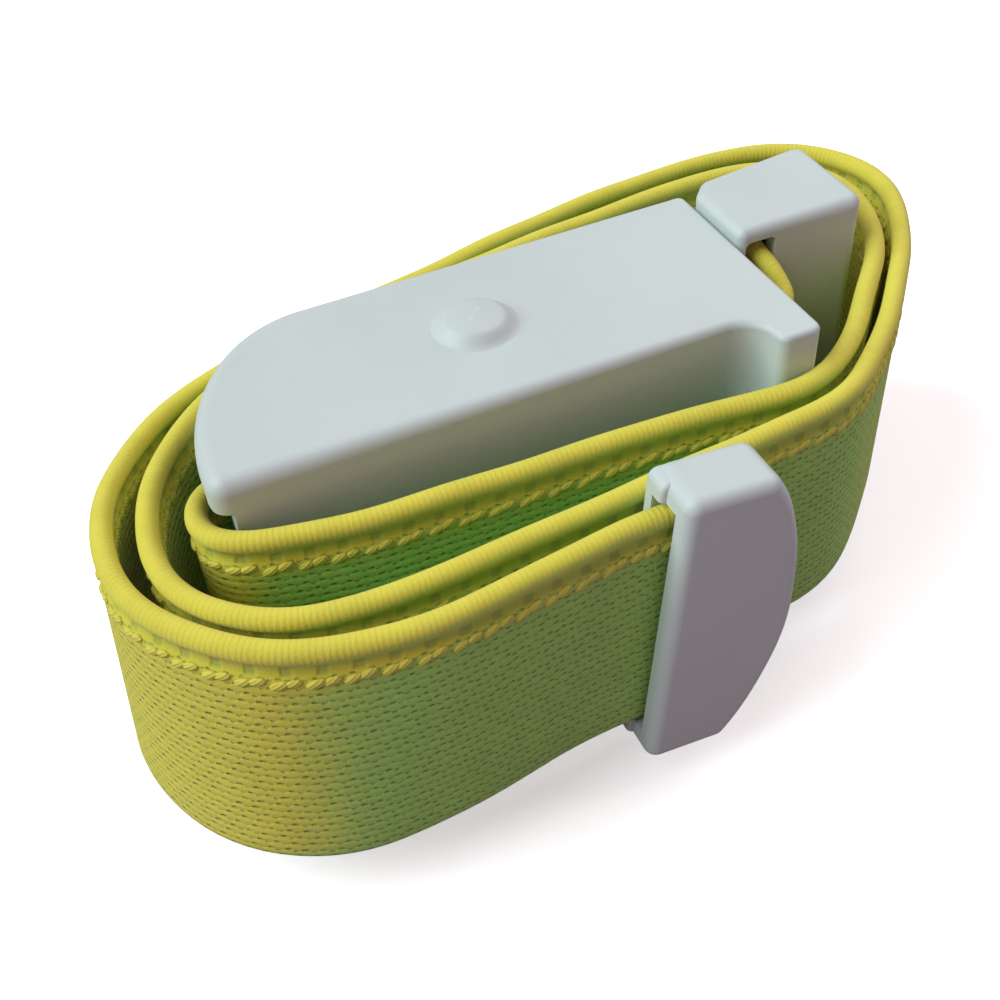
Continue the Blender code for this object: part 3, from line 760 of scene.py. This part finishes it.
CHANNEL_RUN = [(8.0, CHANNEL_Y), (0.0, CHANNEL_Y), (-14.0, CHANNEL_Y)]
NOSE_TURN = [(-20.0, -4.2), (-24.0, -3.2), (-26.8, -4.2), (-28.0, -7.0), (-27.5, -9.8),
             (-25.4, -11.8)]
INNER_TURN = [(-21.5, -12.8), (-13.5, -14.0), (-2.0, -14.3), (11.0, -14.5), (20.0, -15.2),
              (24.6, -15.5), (28.4, -13.9), (32.4, -10.7), (36.2, -6.9), (40.8, -2.0),
              (43.4, 1.7), (45.0, 5.4), (45.5, 9.2), (45.1, 12.8), (42.8, 16.0), (39.2, 17.9),
              (34.4, 18.6), (27.0, 18.3), (18.6, 17.4), (10.0, 16.1), (2.0, 14.9),
              (-6.0, 13.4), (-12.0, 12.2), (-16.0, 11.2)]
MIDDLE_TURN = [(-21.6, 8.8), (-26.2, 5.1), (-29.3, 0.7), (-31.1, -3.6), (-31.9, -7.8),
               (-31.6, -11.6), (-30.3, -15.0), (-27.9, -18.0), (-24.6, -20.2), (-20.4, -21.2),
               (-16.0, -21.6), (-11.7, -21.4), (-5.0, -20.9), (1.7, -20.2), (7.0, -19.8),
               (13.0, -19.2), (20.0, -18.7), (24.4, -18.4), (28.0, -17.2), (31.0, -15.1),
               (35.0, -11.7), (40.2, -6.4), (45.6, 0.3), (49.0, 6.0), (50.2, 11.0),
               (49.9, 14.4), (48.2, 17.7), (45.2, 20.2), (41.0, 21.9), (35.0, 22.6),
               (26.4, 21.9), (18.8, 20.9), (11.1, 19.4), (3.7, 17.6), (-5.0, 15.9)]
OUTER_TURN = [(-11.5, 14.7), (-17.0, 13.3), (-23.4, 10.4), (-28.4, 7.0), (-31.8, 3.3),
              (-34.0, -0.6), (-35.3, -5.7), (-35.1, -10.4), (-33.6, -14.6), (-31.4, -18.0),
              (-28.4, -21.0), (-25.0, -23.2), (-21.0, -24.6), (-14.5, -25.6), (-9.6, -25.4),
              (-4.2, -24.6), (1.6, -24.0), (6.0, -23.9), (TAB_X + 3.4, -23.9)]
# how high the webbing rides: length left to its free end, and rise above the middle
RISE_LEFT = (0.0, 14.0, 30.0, 50.0, 75.0, 110.0, 150.0, 190.0, 215.0, 245.0, 280.0, 320.0,
             350.0, 440.0, 464.0)
RISE = (1.1, 1.0, 0.4, 0.0, 0.0, 0.4, 0.8, 1.0, 0.7, 0.3, 0.4, 1.0, INNER_RISE, INNER_RISE, 0.0)
ANCHOR_RUN = [(8.6, CHANNEL_Y), (16.0, CHANNEL_Y), (23.0, CHANNEL_Y), (26.6, CHANNEL_Y + 0.1),
              (28.6, -4.9), (29.5, -3.6), (29.5, -1.0), (29.2, 1.5), (29.4, 3.5)]
ANCHOR_ALONG = (0.0, 20.0, 21.6, 24.2, 26.7)
ANCHOR_RISE = (1.3, 1.4, 2.0, 3.2, 3.9)
FLARE = 2.4
ROLL_CENTRE = 11.55
ROLL_RADIUS = 0.95
SEAM_ROW = 9.05
STITCH_PITCH = 2.65
STITCH_SLANT = 13.0
STITCH_TWIST = 9.0
FACE = 0.80                  # from the webbing's middle to its flat faces


def smooth_path(points, spacing):
    """A curve through listed points, read off at an even spacing."""
    knots = np.array(points, dtype=float)
    ends = np.vstack([2 * knots[0] - knots[1], knots, 2 * knots[-1] - knots[-2]])
    fine = []
    for i in range(1, len(ends) - 2):
        a, b, c, d = ends[i - 1:i + 3]
        for t in np.linspace(0.0, 1.0, 24, endpoint=False):
            fine.append(0.5 * (2 * b + (c - a) * t + (2 * a - 5 * b + 4 * c - d) * t ** 2
                               + (3 * b - a - 3 * c + d) * t ** 3))
    fine = np.array(fine + [knots[-1]])
    run = np.concatenate([[0.0], np.cumsum(np.linalg.norm(np.diff(fine, axis=0), axis=1))])
    count = max(2, round(run[-1] / spacing))
    places = np.linspace(0.0, run[-1], count + 1)
    return np.stack([np.interp(places, run, fine[:, k]) for k in range(2)], axis=1)


def relax(path, rounds):
    """Takes the last unevenness out of a path and keeps its two ends."""
    for _ in range(rounds):
        path[1:-1] = path[1:-1] * 0.5 + (path[:-2] + path[2:]) * 0.25
    return path


class Strap:
    """A run of webbing that stands on edge along a plan path."""

    def __init__(self, path, flare=0.0):
        self.path = path
        step = np.linalg.norm(np.diff(path, axis=0), axis=1)
        self.run = np.concatenate([[0.0], np.cumsum(step)])
        tangent = np.gradient(path, axis=0)
        self.tangent = tangent / np.linalg.norm(tangent, axis=1)[:, None]
        self.out = np.stack([self.tangent[:, 1], -self.tangent[:, 0]], axis=1)
        self.rise = np.zeros(len(path))
        left = self.left = self.run[-1] - self.run
        ramp = np.clip((left - 16.0) / 24.0, 0, 1) * np.clip((112.0 - left) / 24.0, 0, 1)
        self.lean = flare * ramp * ramp * (3.0 - 2.0 * ramp)

    @property
    def length(self):
        return self.run[-1]

    def spot(self, along, across, height):
        """Places (arrays) on the webbing: along it, across it, and out from its middle."""
        def read(values):
            return np.interp(along, self.run, values)
        out = np.stack([read(self.out[:, 0]), read(self.out[:, 1])], axis=-1)
        out /= np.linalg.norm(out, axis=-1, keepdims=True)
        base = np.stack([read(self.path[:, 0]), read(self.path[:, 1])], axis=-1)
        lean = read(self.lean) * (STRAP_HALF - across) / STRAP_WIDTH
        ripple = 0.10 * np.sin(along / 5.3) * np.sin(along / 3.1 + 1.0) * (across / STRAP_HALF)
        plan = base + out * (height + lean + ripple)[..., None]
        wave = 0.12 * np.sin(along / 7.9 + 0.6) * np.sin(along / 4.3)
        z = MID_Z + read(self.rise) + across + wave * np.clip(across / STRAP_HALF, 0, 1)
        return np.concatenate([plan, z[..., None]], axis=-1)


def web_section():
    """The closed cross-section: a rolled upper edge, a groove below it, a flat body."""
    face = []
    for step in range(0, 9):
        angle = math.radians(138.0 * step / 8.0)
        face.append((ROLL_CENTRE + ROLL_RADIUS * math.cos(angle),
                     ROLL_RADIUS * math.sin(angle)))
    face += [(10.62, 0.52), (10.35, 0.46), (10.0, 0.48), (9.75, 0.58), (9.55, 0.72),
             (9.3, 0.79)]
    face += [(across, FACE) for across in np.linspace(8.6, -11.4, 17)]
    face += [(-12.0, 0.72), (-12.35, 0.50), (-12.5, 0.0)]
    return face + [(across, -out) for across, out in reversed(face[1:-1])]


def web_mesh(name, strap, spacing):
    section = web_section()
    across = np.array([p[0] for p in section])
    height = np.array([p[1] for p in section])
    count = max(4, round(strap.length / spacing))
    along = np.linspace(0.0, strap.length, count + 1)
    grid_along = np.repeat(along[:, None], len(section), axis=1)
    grid_across = np.repeat(across[None, :], len(along), axis=0)
    grid_height = np.repeat(height[None, :], len(along), axis=0)
    spots = strap.spot(grid_along, grid_across, grid_height).reshape(-1, 3)
    ring = len(section)
    faces = []
    for i in range(count):
        for k in range(ring):
            m = (k + 1) % ring
            faces.append((i * ring + k, i * ring + m, (i + 1) * ring + m, (i + 1) * ring + k))
    faces.append(tuple(range(ring))[::-1])
    faces.append(tuple(count * ring + k for k in range(ring)))
    return carry(name, spots, faces, grid_along.ravel(), grid_across.ravel())


def carry(name, spots, faces, along, across):
    """A mesh in the frame that carries its place along and across the webbing."""
    mesh = bpy.data.meshes.new(name)
    placed = np.asarray(spots) * MM + np.array(PLAN_ZERO)
    mesh.from_pydata(placed.tolist(), [], faces)
    shape = bmesh.new()
    shape.from_mesh(mesh)
    bmesh.ops.recalc_face_normals(shape, faces=shape.faces)
    shape.to_mesh(mesh)
    shape.free()
    for label, values in (("along", along), ("across", across)):
        layer = mesh.attributes.new(label, "FLOAT", "POINT")
        layer.data.foreach_set("value", np.asarray(values, np.float32))
    mesh.polygons.foreach_set("use_smooth", [True] * len(mesh.polygons))
    return mesh


def bean():
    """One lobe of a stitch, unit sized: points and faces."""
    turns, levels = 10, 6
    points = [(-1.0, 0.0, 0.0)]
    for level in range(1, levels):
        angle = math.pi * level / levels
        for k in range(turns):
            turn = 2.0 * math.pi * k / turns
            points.append((-math.cos(angle), math.sin(angle) * math.cos(turn),
                           math.sin(angle) * math.sin(turn)))
    points.append((1.0, 0.0, 0.0))
    faces = []
    for k in range(turns):
        m = (k + 1) % turns
        faces.append((0, 1 + m, 1 + k))
        for level in range(levels - 2):
            a = 1 + level * turns
            faces.append((a + k, a + m, a + turns + m, a + turns + k))
        last = 1 + (levels - 2) * turns
        faces.append((last + k, last + m, len(points) - 1))
    return np.array(points), faces


def stitch_mesh(name, strap, start=0.6):
    """The seam on both faces: each stitch is two twisted lobes that climb to the right."""
    points, faces = bean()
    luck = np.random.default_rng(7)
    spots, every_face, all_along, all_across = [], [], [], []
    filled = 0
    for side in (1, -1):
        shift = 0.45 * STITCH_PITCH if side < 0 else 0.0
        for centre in np.arange(start + shift, strap.length - 1.3, STITCH_PITCH):
            for lobe in (-1, 1):
                slant = math.radians(STITCH_SLANT + luck.uniform(-4.0, 4.0)) * side
                twist = slant + math.radians(STITCH_TWIST) * side
                reach = 0.56 * lobe
                mid_along = centre + reach * math.cos(slant) + luck.uniform(-0.10, 0.10)
                mid_across = SEAM_ROW + reach * math.sin(slant) + luck.uniform(-0.07, 0.07)
                lie = points * np.array([0.76, 0.40, 0.22]) * luck.uniform(0.88, 1.08)
                along = mid_along + lie[:, 0] * math.cos(twist) - lie[:, 1] * math.sin(twist)
                across = mid_across + lie[:, 0] * math.sin(twist) + lie[:, 1] * math.cos(twist)
                height = side * (FACE + lie[:, 2])
                spots.append(strap.spot(along, across, height))
                every_face += [tuple(filled + k for k in face) for face in faces]
                filled += len(points)
                all_along.append(along)
                all_across.append(across)
    return carry(name, np.vstack(spots), every_face, np.concatenate(all_along),
                 np.concatenate(all_across))


def bend_with_plug(piece):
    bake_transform(piece)


def make_coil(web, yarn):
    path = smooth_path(CHANNEL_RUN + NOSE_TURN + INNER_TURN + MIDDLE_TURN + OUTER_TURN, 0.8)
    strap = Strap(relax(path, 12), FLARE)
    strap.rise = np.interp(strap.left, RISE_LEFT, RISE)
    coil = add_piece("webbing_coil", web_mesh("webbing_coil", strap, 0.55), web)
    seams = add_piece("webbing_coil_seams", stitch_mesh("webbing_coil_seams", strap), yarn)
    bend_with_plug(coil)
    bend_with_plug(seams)
    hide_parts("strap_webbing")


def make_anchor(web, yarn):
    """The fixed end: from the jaw, through the slot of the plug, round the bar and back."""
    loop = BAR_RADIUS + GAP + STRAP_PLY
    points = ANCHOR_RUN + arc(BAR, (loop, loop), 140.0, -60.0, 9)
    strap = Strap(relax(smooth_path(points, 0.5), 4))
    strap.rise = np.interp(strap.run, ANCHOR_ALONG, ANCHOR_RISE)
    anchor = add_piece("webbing_anchor", web_mesh("webbing_anchor", strap, 0.5), web)
    seams = add_piece("webbing_anchor_seams", stitch_mesh("webbing_anchor_seams", strap), yarn)
    bend_with_plug(anchor)
    bend_with_plug(seams)
    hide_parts("strap_anchor")


# ------------------------------------------------------------------ steel pieces

def dress_steel():
    """The small metal pieces keep their own shapes and get a drawn or stamped finish."""
    pin = steel("pin_steel_finish", (0.60, 0.61, 0.62), 0.22, (1.0, 1.0, 6.0))
    grip = steel("grip_steel_finish", (0.52, 0.53, 0.54), 0.34, (6.0, 1.0, 1.0))
    spring = steel("spring_steel_finish", (0.45, 0.45, 0.47), 0.26, (1.0, 6.0, 1.0))
    wanted = {"pivot_pin": pin, "anchor_bar": pin, "washer_top": pin, "washer_bottom": pin,
              "tab_rivet_top": pin, "tab_rivet_bottom": pin, "bed_plate": grip,
              "jaw_plate": grip, "catch": spring, "torsion_spring_top": spring,
              "torsion_spring_bottom": spring}
    for name, finish in wanted.items():
        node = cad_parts[name]
        for place in node.material_slots:
            place.material = finish


# ------------------------------------------------------------------ studio

def make_floor():
    """Pale paper sweep. What it sends back onto the object is held low."""
    bench = Bench("studio_paper")
    grain = bench.noise(bench.place(), 700.0, 3.0)
    bench.shade(Base_Color=bench.mix(grain, rgb(0.93, 0.93, 0.93), rgb(0.97, 0.97, 0.97)),
                Roughness=0.9, Specular_IOR_Level=0.0,
                Emission_Color=rgb(1.0, 1.0, 1.0), Emission_Strength=0.50)
    dull = bench.node("ShaderNodeBsdfDiffuse", None, {"Color": rgb(0.30, 0.27, 0.29)})
    seen = bench.node("ShaderNodeLightPath", out=0)
    paper = Wire(bench, bench.shader.outputs[0])
    both = bench.node("ShaderNodeMixShader", None, {0: seen, 1: dull, 2: paper})
    out = bench.tree.nodes["Material Output"]
    bench.feed(out.inputs["Surface"], both)
    shape = bmesh.new()
    bmesh.ops.create_grid(shape, x_segments=4, y_segments=4, size=3.0)
    mesh = bpy.data.meshes.new("studio_floor")
    shape.to_mesh(mesh)
    shape.free()
    floor = add_piece("studio_floor", mesh, bench.finish)
    floor.location.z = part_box("plug")[0].z - 0.0002


def lamp(name, direction, colour, strength, softness):
    """A broad studio light, far off on one side of the object."""
    data = bpy.data.lights.new(name, "SUN")
    data.color = colour
    data.energy = strength
    data.angle = math.radians(softness)
    item = bpy.data.objects.new(name, data)
    item.rotation_mode = "QUATERNION"
    item.rotation_quaternion = Vector(direction).to_track_quat("Z", "Y")
    bpy.context.scene.collection.objects.link(item)


def make_lights():
    lamp("key_light", KEY_SIDE, (0.86, 1.0, 0.97), 2.7, 50.0)
    lamp("far_side_light", FAR_SIDE, (0.92, 1.0, 0.98), 1.3, 60.0)
    bench = SkyBench("studio")
    bench.shade(Color=rgb(1.0, 0.54, 0.70), Strength=0.30)
    paper = bench.node("ShaderNodeBackground", None, {"Color": rgb(1.0, 1.0, 1.0)})
    seen = bench.node("ShaderNodeLightPath", out=0)
    both = bench.node("ShaderNodeMixShader", None,
                      {0: seen, 1: Wire(bench, bench.shader.outputs[0]), 2: paper})
    bench.feed(bench.tree.nodes["World Output"].inputs["Surface"], both)
    bpy.context.scene.world = bench.finish
    bpy.context.scene.view_settings.view_transform = "Standard"


def make_camera():
    """Above and in front of the nose, looking down along the buckle."""
    data = bpy.data.cameras.new("studio_camera")
    data.sensor_width = 36.0
    data.lens = 45.72
    data.clip_start = 0.005
    camera = bpy.data.objects.new("studio_camera", data)
    eye = Vector((-31.04, -84.68, 101.47))      # in millimetres from the pivot
    yaw, pitch, roll = (math.radians(a) for a in (20.8, 43.8, 4.2))
    ahead = Vector((math.sin(yaw) * math.cos(pitch), math.cos(yaw) * math.cos(pitch),
                    -math.sin(pitch)))
    level = Vector((math.cos(yaw), -math.sin(yaw), 0.0))
    down = ahead.cross(level)
    right = level * math.cos(roll) + down * math.sin(roll)
    up = level * math.sin(roll) - down * math.cos(roll)
    turn = Matrix((right, up, -ahead)).transposed()
    camera.matrix_world = Matrix.Translation(PLAN_ZERO + eye * MM) @ turn.to_4x4()
    bpy.context.scene.collection.objects.link(camera)
    bpy.context.scene.camera = camera


def main():
    make_camera()
    make_lights()
    make_floor()
    shell_white = (0.565, 0.660, 0.645)
    make_housing(moulded_plastic("housing_finish", shell_white, 1))
    make_lever(moulded_plastic("lever_finish", shell_white, 2))
    make_plug(moulded_plastic("plug_finish", shell_white, 3))
    make_tab(moulded_plastic("tab_finish", shell_white, 4))
    web = webbing_finish("webbing_finish")
    yarn = stitch_finish("seam_yarn")
    make_coil(web, yarn)
    make_anchor(web, yarn)
    dress_steel()


main()
